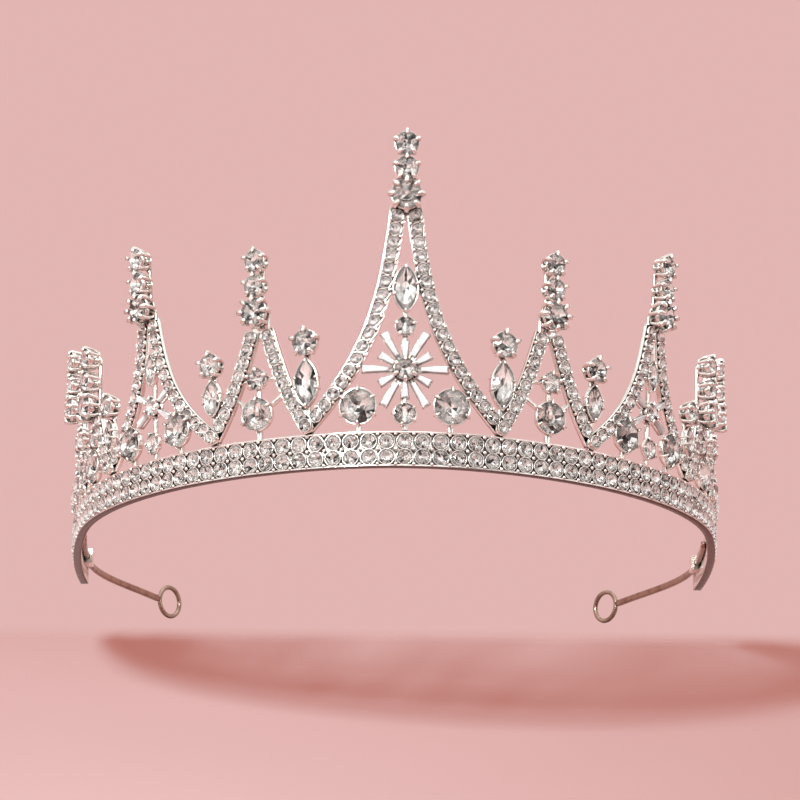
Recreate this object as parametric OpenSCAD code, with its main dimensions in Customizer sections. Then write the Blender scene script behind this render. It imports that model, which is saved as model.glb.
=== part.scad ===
// Bridal tiara: a curved stone-set band carrying nine flared spires,
// with stone motifs inside each arch and two spring arms with eye loops.
// Millimetres. +Z up, front faces -Y, the band's lower edge stands on z = 0.

/* [Band] */
// Overall height of the two-row band
band_h = 7.2; // [6.4:0.1:8.5]
// Thickness of the band's back strip
band_t = 0.8; // [0.6:0.1:1.2]
// Height of the lower and upper rolled lips
lip_h = 0.45; // [0.3:0.05:0.6]
// How far the lips stand out in front of the strip
lip_out = 1.0; // [0.6:0.1:1.4]
// Half length of the band, measured along its curve from the middle
band_half = 147; // [140:1:150]

/* [Plan curve] */
// Radius of the short arc at the very front
arc_r1 = 50; // [46:1:60]
// Radius of the main front arc
arc_r2 = 76; // [70:1:82]
// Radius of the tighter arc at each side
arc_r3 = 66; // [60:1:72]
// Radius of the nearly straight tail
arc_r4 = 230; // [200:5:300]
// Outward lean of the front spires, in degrees
lean_deg = 3.5; // [0:0.5:6]

/* [Stones] */
// Diameter of the band's round stones
band_stone_d = 3.15; // [2.8:0.05:3.3]
// Spacing of the band's stones along the curve
band_pitch = 3.5; // [3.45:0.05:3.8]
// Diameter of the small stones in the spire legs
pave_d = 2.55; // [2:0.05:2.6]
// Spacing of the small stones in the spire legs
pave_pitch = 2.75; // [2.65:0.05:3]

/* [Spires] */
// Width of a spire leg strip
leg_w = 3; // [3:0.1:3.2]
// Thickness of a leg's strip
leg_t = 0.9; // [0.7:0.1:1.2]
// Height of the low lips of a leg above its back plate
wall_h = 0.25; // [0.2:0.05:0.5]
// Thickness of a leg's lips
wall_t = 0.2; // [0.15:0.05:0.3]
// Diameter of the two upper stones of an outer spire's finial
fin_d = 4.4; // [4:0.1:4.6]
// Diameter of the lowest stone of an outer spire's finial
fin_big_d = 5.6; // [5:0.1:5.8]
// How much larger the middle spire's finial stones are
fin_mid = 1.09; // [1:0.01:1.09]
// Depth of a finial's basket setting
basket_h = 2.8; // [2.4:0.1:3.6]

/* [Arms] */
// Wire width of the spring arm, seen from the side
arm_w = 1.5; // [1.2:0.1:1.8]
// Wire thickness of the spring arm, seen from above
arm_t = 1.1; // [0.9:0.1:1.3]
// Distance from the middle plane to each eye centre
eye_x = 52; // [46:1:58]
// Depth of the eye centres behind the front of the curve
eye_y = 148; // [140:1:156]
// Inner radius of the eye loop
eye_r = 2.9; // [2.6:0.1:3.4]
// Angle of the eye's plane from the side-to-side direction
eye_turn = 50; // [40:1:60]

/* [Hidden] */
e = 0.01;
// How far the curve's front is moved towards -Y, so the bounding box is centred.
y0 = -71.54;
// Plan curve: radius and length of each tangent arc, from the middle outwards.
arc_r = [arc_r1, arc_r2, arc_r3, arc_r4];
arc_l = [15, 62, 19, 75];
arc_a = [for (i = [0:3]) arc_l[i] / arc_r[i] * 180 / PI];
function sum_to(v, i) = i <= 0 ? 0 : v[i - 1] + sum_to(v, i - 1);
function head0(i) = sum_to(arc_a, i);
// Start point of arc i, on the +X side.
function start(i) = i == 0 ? [0, y0] : let (p = start(i - 1), r = arc_r[i - 1],
    a = head0(i - 1), b = head0(i)) [p[0] + r * (sin(b) - sin(a)), p[1] + r * (cos(a) - cos(b))];
starts = [for (i = [0:3]) start(i)];
heads = [for (i = [0:3]) head0(i)];
// Which arc holds the distance d, its heading there and its point.
function arc_at(d) = d < arc_l[0] ? 0 : d < arc_l[0] + arc_l[1] ? 1
    : d < arc_l[0] + arc_l[1] + arc_l[2] ? 2 : 3;
function head(s) = let (d = abs(s), i = arc_at(d))
    sign(s) * (heads[i] + (d - sum_to(arc_l, i)) / arc_r[i] * 180 / PI);
function pt(s) = let (d = abs(s), i = arc_at(d), a = heads[i], b = abs(head(s)), g = s < 0 ? -1 : 1)
    [g * (starts[i][0] + arc_r[i] * (sin(b) - sin(a))), starts[i][1] + arc_r[i] * (cos(a) - cos(b))];
// Lean is full up to the third spires and fades to nothing behind them.
function lean(s) = lean_deg * min(1, max(0, (90 - abs(s)) / 33));
// Point on the developed sheet: s along, z up, n outwards.
function sheet(s, z, n) = let (h = head(s), k = n + z * tan(lean(s)), p = pt(s))
    [p[0] + k * sin(h), p[1] - k * cos(h), z];

// Spires: distance of the axis, half width at the foot, leg top height, top stone height,
// leg shape, scale of the motif, kind (2 = full flake, 1 = small flake, 0 = round),
// slant of the axis to the middle.
SPIRES = [[0, 19.3, 51.8, 65.2, 0.29, 1, 2, 0], [29.8, 10.5, 29, 43.2, 0.7, 1, 0, 0.025],
    [57, 16.7, 35.9, 49.2, 0.3, 0.86, 1, -0.035], [83.2, 9.5, 21.4, 34.6, 0.7, 0.84, 0, 0],
    [106.4, 13.7, 27, 40.5, 0.35, 0.66, 1, 0]];
// Valleys: distance along the curve, round stone height and size, navette height and length.
VALLEYS = [[19.3, 25.7, 5.2, 17.6, 9.6], [40.3, 23.6, 4.8, 16.9, 7.2],
    [73.7, 22, 4.5, 15.8, 6.2], [92.7, 19.6, 4.3, 13.8, 5.4]];
foot_z = 8.8;
leg_top = 1.6;
fin_gap = [0, 5.1, 10.6];
low_z = lip_h + band_stone_d / 2 - 0.02;
high_z = band_h - low_z;
face_n = band_t / 2;
metal = [0.86, 0.86, 0.88];
ice = [0.93, 0.95, 0.98];
milk = [0.9, 0.92, 0.92];

// Leg centre line: half width from the axis at a share t of the way down.
function leg_h(p, t) = leg_top + (p[1] - leg_top) * (p[4] * t + (1 - p[4]) * t * t * t);
function leg_z(p, t) = p[2] + (foot_z - p[2]) * t;
// Place of a spire's axis along the curve at a height z.
function ax(p, z) = p[0] - p[7] * (z - foot_z);
function leg_ang(p, t) = atan2(leg_z(p, t + e) - leg_z(p, t - e),
    leg_h(p, t + e) - leg_h(p, t - e));
function leg_len(p, n = 40) = sum_to([for (i = [0:n - 1]) let (a = i / n, b = (i + 1) / n)
    norm([leg_h(p, b) - leg_h(p, a), leg_z(p, b) - leg_z(p, a)])], n);
// Share t reached after a given length down the leg.
function leg_t_at(p, l, n = 60, i = 0, acc = 0) = let (a = i / n, b = (i + 1) / n,
    d = norm([leg_h(p, b) - leg_h(p, a), leg_z(p, b) - leg_z(p, a)]))
    i >= n ? 1 : acc + d >= l ? a + (l - acc) / d / n : leg_t_at(p, l, n, i + 1, acc + d);

// Puts children on the sheet: local Z points outwards and local Y points up.
module on_sheet(s, z, n = 0) {
    translate(sheet(s, z, n)) rotate([90 + lean(s), 0, head(s)]) children();
}

// A round brilliant as a turned solid: table, crown, girdle and pavilion.
module round_gem(d) {
    r = d / 2;
    rotate_extrude($fn = 24)
        polygon([[0, -0.55 * r], [r, -0.12 * r], [r, 0.06 * r], [0.58 * r, 0.34 * r], [0, 0.34 * r]]);
}

// A lens-shaped outline of a given length and width.
module lens(l, w) {
    r = (l * l + w * w) / 4 / w;
    intersection() {
        translate([r - w / 2, 0]) circle(r, $fn = 72);
        translate([w / 2 - r, 0]) circle(r, $fn = 72);
    }
}

// Navette stone lying in the local XY plane with its length along Y.
module navette_gem(l, w) {
    translate([0, 0, -0.5]) linear_extrude(0.9) lens(l, w);
    translate([0, 0, 0.35]) linear_extrude(0.45) lens(l * 0.72, w * 0.66);
}

// Navette cup: a walled tray with a claw over each tip and each side.
module navette_cup(l, w, h) {
    difference() {
        translate([0, 0, -h]) linear_extrude(h) lens(l + 0.9, w + 0.7);
        translate([0, 0, -0.5]) linear_extrude(h) lens(l + 0.02, w + 0.02);
    }
    for (g = [-1, 1]) {
        translate([0, g * (l / 2 + 0.1), -h]) cylinder(h = h + 0.55, r = 0.36, $fn = 16);
        translate([g * (w / 2 + 0.12), 0, -h]) cylinder(h = h + 0.5, r = 0.3, $fn = 16);
    }
}

// Claw basket: a turned spool of base, post and cupped seat, with a ring of claws joining them.
module basket(d, h, claws) {
    r = d / 2;
    rotate_extrude($fn = 36) polygon([[0, -h], [r * 0.97, -h], [r * 0.97, 0.8 - h], [r * 0.5, 0.8 - h],
        [r * 0.5, -0.85], [r * 0.97, -0.85], [r * 0.97, -0.05], [r * 0.55, -0.62], [0, -0.62]]);
    for (i = [0:claws - 1]) rotate([0, 0, 90 + i * 360 / claws])
        translate([r * 1.02, 0, 0.1 - h]) cylinder(h = h + r * 0.2 - 0.1, r = r * 0.17, $fn = 14);
}

// Plain bezel cup with a closed back.
module bezel(d, h) {
    r = d / 2;
    rotate_extrude($fn = 36)
        polygon([[0, -h], [r + 0.1, -h], [r + 0.32, -h + 0.5], [r + 0.32, 0.1],
            [r + 0.02, 0.1], [r + 0.02, -0.3], [0, -0.56 * r]]);
}

// Flat bar on the sheet between two developed points.
module link(s1, z1, s2, z2, w = 1, n0 = -0.5, n1 = 0.5) {
    m = (s1 + s2) / 2;
    l = norm([s2 - s1, z2 - z1]);
    on_sheet(m, (z1 + z2) / 2, 0) rotate([0, 0, atan2(z2 - z1, s2 - s1)])
        translate([-l / 2, -w / 2, n0]) cube([l, w, n1 - n0]);
}

// One leg of a spire: a channel strip swept down the flare, as one closed skin.
module leg(p, side) {
    n = 15;
    c = leg_w / 2;
    sec = [[-c, 0], [-c, leg_t + wall_h], [-c + wall_t, leg_t + wall_h], [-c + wall_t, leg_t],
        [c - wall_t, leg_t], [c - wall_t, leg_t + wall_h], [c, leg_t + wall_h], [c, 0]];
    pts = [for (i = [0:n]) let (t = -0.02 + 1.03 * i / n, a = leg_ang(p, t)) for (q = sec)
        sheet(ax(p, leg_z(p, t)) + side * (leg_h(p, t) - q[0] * sin(a)),
            leg_z(p, t) + q[0] * cos(a), q[1] - leg_t / 2)];
    wall = [for (i = [0:n - 1]) for (j = [0:7]) let (a = i * 8 + j, b = i * 8 + (j + 1) % 8)
        for (tri = [[a, b, b + 8], [a, b + 8, a + 8]])
            side > 0 ? tri : [tri[0], tri[2], tri[1]]];
    lo = [for (j = [0:7]) side > 0 ? 7 - j : j];
    hi = [for (j = [0:7]) n * 8 + (side > 0 ? j : 7 - j)];
    polyhedron(points = pts, faces = concat(wall, [lo, hi]), convexity = 6);
}

// The two legs stay clear of each other: the finial's plate joins them.
module spire_frame(p) {
    for (side = [-1, 1]) leg(p, side);
}

// Diameter of a finial's stone, counted from the top.
function fin_size(p, i) = (i == 2 ? fin_big_d : fin_d) * (p[0] == 0 ? fin_mid : 1);

// Plate across the leg tops, a post, and the three claw baskets it carries.
module spire_finial(p) {
    top = p[3] - fin_gap[2];
    link(ax(p, p[2] - 1.5), p[2] - 1.5, ax(p, top), top, 2 * leg_top + 1, -leg_t / 2, leg_t / 2 - 0.1);
    link(ax(p, top), top, ax(p, p[3] + 0.5), p[3] + 0.5, 1.6, -leg_t / 2, leg_t / 2 - 0.1);
    for (i = [0:2]) on_sheet(ax(p, p[3] - fin_gap[i]), p[3] - fin_gap[i], leg_t / 2 + basket_h)
        basket(fin_size(p, i), basket_h + 0.15, i == 2 ? 8 : 5);
}

// Arms of a flake: angle, start and end of the baguette on it. A full flake has six long arms
// and six short ones; a small flake has four, and links above and below.
function arms(p) = p[6] == 2 ? [for (i = [0:11]) [30 * i, i % 2 == 0 ? 3.1 : 2.5, i % 2 == 0 ? 8.5 : 5.8]]
    : [for (a = [30, 150, 210, 330]) [a, 2.4, 6.6]];

// Back plate of a flake: a hub with its arms.
module flake_plate(p) {
    k = p[5];
    translate([0, 0, -0.55]) linear_extrude(0.6) {
        circle(r = 2.6 * k, $fn = 36);
        for (a = arms(p)) rotate([0, 0, a[0]]) translate([1, -0.75 * k]) square([a[2] * k - 1, 1.5 * k]);
    }
}

module spire_pave(p) {
    total = leg_len(p);
    count = floor(total / pave_pitch);
    for (side = [-1, 1]) for (i = [0:count - 1]) {
        t = leg_t_at(p, (i + 0.35) * total / (count + 0.35));
        on_sheet(ax(p, leg_z(p, t)) + side * leg_h(p, t), leg_z(p, t), leg_t / 2 + pave_d * 0.26)
            round_gem(pave_d);
    }
}

// Heights, places and sizes of the stones inside an arch.
function flake_z(p) = foot_z + 10.9 * p[5];
function bud_z(p) = flake_z(p) + 8.6 * p[5];
function nav_z(p) = flake_z(p) + (p[6] == 2 ? 16.2 : 8.8 * p[5]);
function nav_l(p) = p[6] == 2 ? 9.4 : 6.8 * p[5];
function big_z(p) = p[6] == 0 ? 12.2 * sqrt(p[5]) : band_h + 5 * sqrt(p[5]);
function big_s(p) = 10.5 * p[5] - 1.5;
function big_d(p) = p[6] == 0 ? 6.4 : 3.5 + 3.5 * p[5];
function low_d(p) = 4.2 * sqrt(p[5]);
function top_z(p) = 19.4 - 14 * (1 - p[5]);
low_stone_z = 10.6;

// Thin bar from leg to leg at a height z.
module cross_link(p, z, w) {
    h = leg_h(p, (p[2] - z) / (p[2] - foot_z));
    link(p[0] - h, z, p[0] + h, z, w);
}

// Cups, posts and back plates inside the arch.
module spire_settings(p) {
    k = p[5];
    if (p[6] > 0) {
        fz = flake_z(p);
        on_sheet(p[0], fz, 1.2) basket(4.4 * k, 1.9, 6);
        on_sheet(p[0], fz, 0) flake_plate(p);
        link(p[0], fz + k, p[0], nav_z(p), 1.1);
        cross_link(p, nav_z(p), 0.9);
        if (p[6] == 2) on_sheet(p[0], bud_z(p), 1.2) basket(4 * k, 1.9, 5);
        on_sheet(p[0], nav_z(p), 1.2) navette_cup(nav_l(p), nav_l(p) * 0.5, 1.6);
        for (g = [-1, 1]) {
            on_sheet(p[0] + g * big_s(p), big_z(p), 1.3) bezel(big_d(p), 1.9);
            link(p[0] + g * big_s(p), band_h - 0.8, p[0] + g * big_s(p), big_z(p) - 2.2, 1.2);
        }
        on_sheet(p[0], low_stone_z, 1) bezel(low_d(p), 1.5);
        link(p[0], band_h - 0.8, p[0], fz - 2 * k, 1.1);
    } else {
        on_sheet(p[0], top_z(p), 1.2) basket(4.2 * k, 1.8, 5);
        cross_link(p, top_z(p), 0.8);
        link(p[0], 12, p[0], top_z(p), 1);
        on_sheet(p[0], big_z(p), 1.3) bezel(big_d(p), 1.9);
        link(p[0], band_h - 0.8, p[0], 10, 1.2);
        for (g = [-1, 1]) link(p[0] + g * 2.4, 14 * k, ax(p, leg_z(p, 0.62)) + g * leg_h(p, 0.62),
            leg_z(p, 0.62), 0.9);
    }
}

// Finial stones and the round stones inside the arch.
module spire_crystals(p) {
    k = p[5];
    for (i = [0:2]) on_sheet(ax(p, p[3] - fin_gap[i]), p[3] - fin_gap[i], leg_t / 2 + basket_h)
        round_gem(fin_size(p, i));
    if (p[6] > 0) {
        on_sheet(p[0], flake_z(p), 1.2) round_gem(4.4 * k);
        if (p[6] == 2) on_sheet(p[0], bud_z(p), 1.2) round_gem(4 * k);
        on_sheet(p[0], nav_z(p), 1.2) navette_gem(nav_l(p), nav_l(p) * 0.5);
        for (g = [-1, 1]) on_sheet(p[0] + g * big_s(p), big_z(p), 1.3) round_gem(big_d(p));
        on_sheet(p[0], low_stone_z, 1) round_gem(low_d(p));
    } else {
        on_sheet(p[0], top_z(p), 1.2) round_gem(4.2 * k);
        on_sheet(p[0], big_z(p), 1.3) round_gem(big_d(p));
    }
}

// Tapered baguette: a step-cut block, wider at its outer end.
module baguette(l, w1, w2) {
    linear_extrude(0.8) polygon([[0, -w1 / 2], [l, -w2 / 2], [l, w2 / 2], [0, w1 / 2]]);
    translate([0.3, 0, 0.75]) linear_extrude(0.3)
        polygon([[0, -w1 / 2 + 0.12], [l - 0.6, -w2 / 2 + 0.14], [l - 0.6, w2 / 2 - 0.14],
            [0, w1 / 2 - 0.12]]);
}

// Milky baguettes on a flake's arms.
module spire_flake(p) {
    k = p[5];
    on_sheet(p[0], flake_z(p), 0) for (a = arms(p)) rotate([0, 0, a[0]])
        translate([a[1] * k, 0, 0.03]) baguette((a[2] - a[1]) * k, 0.9 * k, 1.6 * k);
}

// Back strip with a rolled lip along its lower and its upper edge, swept as one closed skin.
module band_base() {
    n = 80;
    lip = face_n + lip_out;
    sec = [[-face_n, 0], [lip, 0], [lip, lip_h], [face_n, lip_h], [face_n, band_h - lip_h],
        [lip, band_h - lip_h], [lip, band_h], [-face_n, band_h]];
    pts = [for (i = [0:n]) let (s = band_half * (2 * i / n - 1), p = pt(s), h = head(s))
        for (q = sec) [p[0] + q[0] * sin(h), p[1] - q[0] * cos(h), q[1]]];
    wall = [for (i = [0:n - 1]) for (j = [0:7]) let (a = i * 8 + j, b = i * 8 + (j + 1) % 8)
        for (tri = [[a, b, b + 8], [a, b + 8, a + 8]]) tri];
    color(metal) polyhedron(points = pts,
        faces = concat(wall, [[for (j = [7:-1:0]) j], [for (j = [0:7]) n * 8 + j]]), convexity = 8);
}

module band_row(z) {
    n = floor((band_half - 2) / band_pitch);
    color(ice) for (i = [-n:n]) translate(concat(pt(i * band_pitch), 0)) rotate([0, 0, head(i * band_pitch)])
        translate([0, -face_n - band_stone_d * 0.26, z]) rotate([90, 0, 0]) round_gem(band_stone_d);
}

module band_stones_lower() { band_row(low_z); }

module band_stones_upper() { band_row(high_z); }

// Width of a valley's navette.
function nav_w(v) = v[4] * 0.3 + 1.8;

// Settings of the valley pieces on one side of the tiara.
module valley_settings(side) {
    color(metal) for (v = VALLEYS) {
        s = side * v[0];
        on_sheet(s, v[1], 1.9) basket(v[2], 2.7, 5);
        on_sheet(s, v[3], 1.2) navette_cup(v[4], nav_w(v), 1.6);
        link(s, band_h - 0.8, s, v[1] - 1, 1.2, -0.5, 0.4);
        on_sheet(s, foot_z, leg_t / 2) cylinder(h = 1, r = 1.45, $fn = 24);
    }
}

module valley_crystals(side) {
    color(ice) for (v = VALLEYS) {
        s = side * v[0];
        on_sheet(s, v[1], 1.9) round_gem(v[2]);
        on_sheet(s, v[3], 1.2) navette_gem(v[4], nav_w(v));
        on_sheet(s, foot_z, leg_t / 2 + 0.95 + pave_d * 0.26) round_gem(pave_d);
    }
}

// Spring arm: a flattened wire along the inside of the band, then back to the eye.
arm_z = 4.05;
arm_n = 14;
arm_s0 = 117;
arm_s1 = 142;
arm_in = face_n + arm_t / 2 + 0.02;
eye_out = eye_r + arm_t;
eye_dir = [-cos(eye_turn), sin(eye_turn)];
function arm_pt(u) = u <= 1 ? let (s = arm_s0 + (arm_s1 - arm_s0) * u, h = head(s), p = pt(s))
    [p[0] - arm_in * sin(h), p[1] + arm_in * cos(h)]
    : let (v = u - 1, a = arm_pt(1), h = head(arm_s1), b = a + 16 * [cos(h), sin(h)],
        d = [eye_x, eye_y + y0] - (eye_r + arm_t / 2) * eye_dir, c = d - 16 * [-0.38, 0.92])
        pow(1 - v, 3) * a + 3 * v * pow(1 - v, 2) * b + 3 * v * v * (1 - v) * c + pow(v, 3) * d;

module arm_wire() {
    n = 2 * arm_n;
    c = arm_t / 2;
    w = arm_w / 2;
    sec = [[-c, -w * 0.6], [-c * 0.5, -w], [c * 0.5, -w], [c, -w * 0.6],
        [c, w * 0.6], [c * 0.5, w], [-c * 0.5, w], [-c, w * 0.6]];
    pts = [for (i = [0:n]) let (u = 2 * i / n, p = arm_pt(u), q = arm_pt(min(2, u + 0.01)),
        r = arm_pt(max(0, u - 0.01)), t = (q - r) / norm(q - r)) for (k = sec)
        [p[0] + t[1] * k[0], p[1] - t[0] * k[0], arm_z + k[1]]];
    wall = [for (i = [0:n - 1]) for (j = [0:7]) let (a = i * 8 + j, b = i * 8 + (j + 1) % 8)
        for (tri = [[a, b, b + 8], [a, b + 8, a + 8]]) tri];
    polyhedron(points = pts, faces = concat(wall, [[for (j = [7:-1:0]) j], [for (j = [0:7]) n * 8 + j]]),
        convexity = 4);
}

// Eye loop: a flat-bored ring closed onto the arm.
module eye_loop() {
    translate([eye_x, eye_y + y0, arm_z]) rotate([90, 0, -eye_turn])
        translate([0, 0, -arm_w * 0.35]) rotate_extrude($fn = 48)
            polygon([[eye_r, 0], [eye_out - 0.3, 0], [eye_out, 0.3], [eye_out, arm_w * 0.7 - 0.3],
                [eye_out - 0.3, arm_w * 0.7], [eye_r, arm_w * 0.7]]);
}

module arm_right() {
    color(metal) {
        arm_wire();
        eye_loop();
    }
}

module arm_left() { mirror([1, 0, 0]) arm_right(); }

// Folded crimp that grips the arm against the band's inner face.
module crimp_right() {
    s = 138;
    h = head(s);
    color(metal) translate(concat(pt(s), 0)) rotate([0, 0, h]) {
        translate([-2.2, face_n, arm_z - 1.6]) difference() {
            cube([4.4, arm_t + 0.75, 3.2]);
            translate([-1, -0.5, 0.85]) cube([6.4, arm_t + 0.55, 1.5]);
        }
    }
}

module crimp_left() { mirror([1, 0, 0]) crimp_right(); }

module flip(g) { if (g < 0) mirror([1, 0, 0]) children(); else children(); }

module frame_n(i, g) { color(metal) flip(g) spire_frame(SPIRES[i]); }
module pave_n(i, g) { color(ice) flip(g) spire_pave(SPIRES[i]); }
module finial_n(i, g) { color(metal) flip(g) spire_finial(SPIRES[i]); }
module settings_n(i, g) { color(metal) flip(g) spire_settings(SPIRES[i]); }
module crystals_n(i, g) { color(ice) flip(g) spire_crystals(SPIRES[i]); }
module flake_n(i, g) { color(milk) flip(g) spire_flake(SPIRES[i]); }

module frame_c() { frame_n(0, 1); }
module pave_c() { pave_n(0, 1); }
module finial_c() { finial_n(0, 1); }
module settings_c() { settings_n(0, 1); }
module crystals_c() { crystals_n(0, 1); }
module frame_r2() { frame_n(1, 1); }
module pave_r2() { pave_n(1, 1); }
module finial_r2() { finial_n(1, 1); }
module settings_r2() { settings_n(1, 1); }
module crystals_r2() { crystals_n(1, 1); }
module frame_l2() { frame_n(1, -1); }
module pave_l2() { pave_n(1, -1); }
module finial_l2() { finial_n(1, -1); }
module settings_l2() { settings_n(1, -1); }
module crystals_l2() { crystals_n(1, -1); }
module frame_r3() { frame_n(2, 1); }
module pave_r3() { pave_n(2, 1); }
module finial_r3() { finial_n(2, 1); }
module settings_r3() { settings_n(2, 1); }
module crystals_r3() { crystals_n(2, 1); }
module frame_l3() { frame_n(2, -1); }
module pave_l3() { pave_n(2, -1); }
module finial_l3() { finial_n(2, -1); }
module settings_l3() { settings_n(2, -1); }
module crystals_l3() { crystals_n(2, -1); }
module frame_r4() { frame_n(3, 1); }
module pave_r4() { pave_n(3, 1); }
module finial_r4() { finial_n(3, 1); }
module settings_r4() { settings_n(3, 1); }
module crystals_r4() { crystals_n(3, 1); }
module frame_l4() { frame_n(3, -1); }
module pave_l4() { pave_n(3, -1); }
module finial_l4() { finial_n(3, -1); }
module settings_l4() { settings_n(3, -1); }
module crystals_l4() { crystals_n(3, -1); }
module frame_r5() { frame_n(4, 1); }
module pave_r5() { pave_n(4, 1); }
module finial_r5() { finial_n(4, 1); }
module settings_r5() { settings_n(4, 1); }
module crystals_r5() { crystals_n(4, 1); }
module frame_l5() { frame_n(4, -1); }
module pave_l5() { pave_n(4, -1); }
module finial_l5() { finial_n(4, -1); }
module settings_l5() { settings_n(4, -1); }
module crystals_l5() { crystals_n(4, -1); }

module baguettes_c() { flake_n(0, 1); }

module baguettes_r() {
    flake_n(2, 1);
    flake_n(4, 1);
}

module baguettes_l() {
    flake_n(2, -1);
    flake_n(4, -1);
}

module valley_settings_r() { valley_settings(1); }
module valley_settings_l() { valley_settings(-1); }
module valley_crystals_r() { valley_crystals(1); }
module valley_crystals_l() { valley_crystals(-1); }

band_base();
band_stones_lower();
band_stones_upper();
frame_c();
pave_c();
finial_c();
settings_c();
crystals_c();
frame_r2();
pave_r2();
finial_r2();
settings_r2();
crystals_r2();
frame_l2();
pave_l2();
finial_l2();
settings_l2();
crystals_l2();
frame_r3();
pave_r3();
finial_r3();
settings_r3();
crystals_r3();
frame_l3();
pave_l3();
finial_l3();
settings_l3();
crystals_l3();
frame_r4();
pave_r4();
finial_r4();
settings_r4();
crystals_r4();
frame_l4();
pave_l4();
finial_l4();
settings_l4();
crystals_l4();
frame_r5();
pave_r5();
finial_r5();
settings_r5();
crystals_r5();
frame_l5();
pave_l5();
finial_l5();
settings_l5();
crystals_l5();
baguettes_c();
baguettes_r();
baguettes_l();
valley_settings_r();
valley_settings_l();
valley_crystals_r();
valley_crystals_l();
arm_right();
arm_left();
crimp_right();
crimp_left();
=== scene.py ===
import math
import random
from collections import namedtuple

import bmesh
import bpy
from mathutils import Matrix, Vector


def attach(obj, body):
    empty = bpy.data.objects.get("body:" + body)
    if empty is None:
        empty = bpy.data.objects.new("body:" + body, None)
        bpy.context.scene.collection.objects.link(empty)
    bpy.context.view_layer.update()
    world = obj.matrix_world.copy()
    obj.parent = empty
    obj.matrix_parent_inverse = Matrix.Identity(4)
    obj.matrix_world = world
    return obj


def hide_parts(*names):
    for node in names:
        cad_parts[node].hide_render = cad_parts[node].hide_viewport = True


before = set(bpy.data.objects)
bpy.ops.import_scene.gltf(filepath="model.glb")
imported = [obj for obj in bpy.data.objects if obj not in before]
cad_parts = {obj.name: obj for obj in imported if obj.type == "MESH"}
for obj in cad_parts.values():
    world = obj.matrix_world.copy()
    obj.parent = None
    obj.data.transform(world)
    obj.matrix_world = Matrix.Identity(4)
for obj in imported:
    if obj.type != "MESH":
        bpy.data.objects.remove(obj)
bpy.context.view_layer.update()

# ---------------------------------------------------------------- dimensions, in millimetres
MM = 0.001
# Band: height, thickness, height of the lips, half length along the curve.
BAND_H, BAND_T, LIP_H, BAND_HALF = 7.2, 0.8, 0.45, 147.0
FACE_N = BAND_T / 2
# Plan curve: radius and length of each arc from the middle outwards. The last one has no end.
ARC_R = (50.0, 76.0, 66.0, 230.0)
ARC_L = (15.0, 62.0, 19.0, 1000.0)
FRONT_Y = -71.54
# The front leans out by LEAN. The lean fades away along the sides.
LEAN, LEAN_FADE, LEAN_END = math.radians(3.5), 33.0, 90.0
# Band stones in two rows, and the small stones on the legs.
STONE_D, STONE_PITCH = 3.15, 3.5
PAVE_D, PAVE_PITCH = 2.55, 2.75
LOW_Z = LIP_H + STONE_D / 2 - 0.02
HIGH_Z = BAND_H - LOW_Z
# Share of a stone's diameter by which its girdle stands in front of the strip.
STAND_OFF = 0.26
BAND_STONE_N = FACE_N + STONE_D * STAND_OFF
# Legs: thickness, height of the feet, half the distance of the centre lines at the top.
LEG_T, FOOT_Z, LEG_TOP = 0.9, 8.8, 1.6
PAVE_N = LEG_T / 2 + PAVE_D * STAND_OFF
# Finials: diameters, enlargement on the middle spire, basket height, drop of each stone.
FIN_D, FIN_BIG_D, FIN_MID, BASKET_H = 4.4, 5.6, 1.09, 2.8
FIN_GAPS = (0.0, 5.1, 10.6)
# Height of the stone on the stem under a flake.
LOW_STONE_Z = 10.6
# Arms: wire width and thickness, height, and the stretch that lies along the band.
ARM_W, ARM_T, ARM_Z = 1.5, 1.1, 4.05
ARM_S0, ARM_S1 = 117.0, 142.0
# Eye: place, inner radius and turn about the vertical. Crimp: distance along the curve, length.
EYE_X, EYE_Y, EYE_R, EYE_TURN = 52.0, 148.0 + FRONT_Y, 2.9, math.radians(50)
CRIMP_S, CRIMP_L = 138.0, 4.4

# name: as in the CAD. s: distance of the axis. foot: half width at the foot. leg: height of the
# leg tops. top: height of the top stone. bow: 1 for straight legs, less for flared ones.
# scale: of the motif. kind: one of the three below. slant: shift of the axis towards the middle
# for each millimetre of height.
Spire = namedtuple("Spire", "name s foot leg top bow scale kind slant")
ROUND, SMALL_FLAKE, FULL_FLAKE = 0, 1, 2
SPIRES = (
    Spire("c", 0.0, 19.3, 51.8, 65.2, 0.29, 1.0, FULL_FLAKE, 0.0),
    Spire("2", 29.8, 10.5, 29.0, 43.2, 0.7, 1.0, ROUND, 0.025),
    Spire("3", 57.0, 16.7, 35.9, 49.2, 0.3, 0.86, SMALL_FLAKE, -0.035),
    Spire("4", 83.2, 9.5, 21.4, 34.6, 0.7, 0.84, ROUND, 0.0),
    Spire("5", 106.4, 13.7, 27.0, 40.5, 0.35, 0.66, SMALL_FLAKE, 0.0),
)
# Valleys: distance, round stone height and size, navette height and length.
VALLEYS = (
    (19.3, 25.7, 5.2, 17.6, 9.6),
    (40.3, 23.6, 4.8, 16.9, 7.2),
    (73.7, 22.0, 4.5, 15.8, 6.2),
    (92.7, 19.6, 4.3, 13.8, 5.4),
)


# ---------------------------------------------------------------- the curved sheet of the CAD
def plan(s):
    """Point and heading of the plan curve at a distance s from the middle."""
    side = -1.0 if s < 0 else 1.0
    left, x, y, a = abs(s), 0.0, FRONT_Y, 0.0
    for r, length in zip(ARC_R, ARC_L):
        b = a + min(left, length) / r
        x += r * (math.sin(b) - math.sin(a))
        y += r * (math.cos(a) - math.cos(b))
        a, left = b, left - length
        if left <= 0:
            break
    return side * x, y, side * a


def lean(s):
    return LEAN * min(1.0, max(0.0, (LEAN_END - abs(s)) / LEAN_FADE))


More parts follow.
